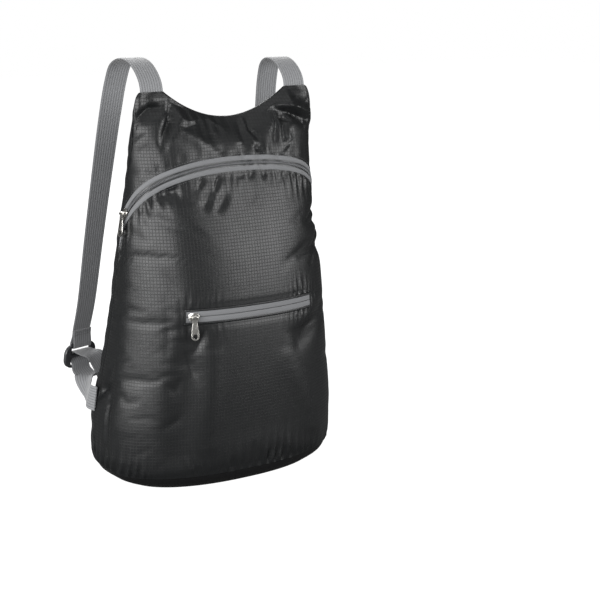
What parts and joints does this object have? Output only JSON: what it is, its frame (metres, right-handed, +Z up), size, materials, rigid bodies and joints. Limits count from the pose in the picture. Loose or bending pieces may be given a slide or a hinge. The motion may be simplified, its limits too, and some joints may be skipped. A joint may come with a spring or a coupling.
{
  "type": "packable backpack",
  "caption": "Light ripstop daypack standing filled, with an arched main zip, a zipped front pocket, a dipped top edge and webbing shoulder straps with adjusters.",
  "frame": {"origin": "on the floor under the middle of the base", "axes": "+Z up, the front of the bag faces -Y, +X to the right seen from the front"},
  "size_m": [0.269, 0.1806, 0.4264],
  "materials": {
    "ripstop": "satin",
    "base_cloth": "satin",
    "zip_tape": "matte",
    "zip_coil": "satin",
    "webbing": "matte",
    "plastic": "satin",
    "metal": "polished"
  },
  "bodies": {
    "bag": {"front_panel": "ripstop", "yoke_panel": "ripstop", "back_panel": "ripstop", "base_panel": "base_cloth", "main_zip_tape_upper": "zip_tape", "main_zip_tape_lower": "zip_tape", "main_zip_coil": "zip_coil", "pocket_zip_welt": "ripstop", "pocket_zip_tape_upper": "zip_tape", "pocket_zip_tape_lower": "zip_tape", "main_zip_slider": "metal", "pocket_zip_slider": "metal", "strap_left": "webbing", "strap_right": "webbing", "lower_band_left": "webbing", "lower_band_right": "webbing", "adjuster_left": "plastic", "adjuster_right": "plastic"},
    "main_puller": {"main_zip_puller": "metal"},
    "pocket_puller": {"pocket_zip_puller": "metal"}
  },
  "joints": [
    {"name": "main_zip_puller_lift", "type": "hinge", "parent": "bag", "child": "main_puller", "pos_m": [-0.11317, -0.00488, 0.27748], "axis": [0.0257, 0.9997, 0], "range_deg": [0, 140]},
    {"name": "pocket_zip_puller_lift", "type": "hinge", "parent": "bag", "child": "pocket_puller", "pos_m": [-0.06797, -0.06503, 0.17822], "axis": [-0.9511, 0.3089, 0], "range_deg": [0, 140]}
  ]
}
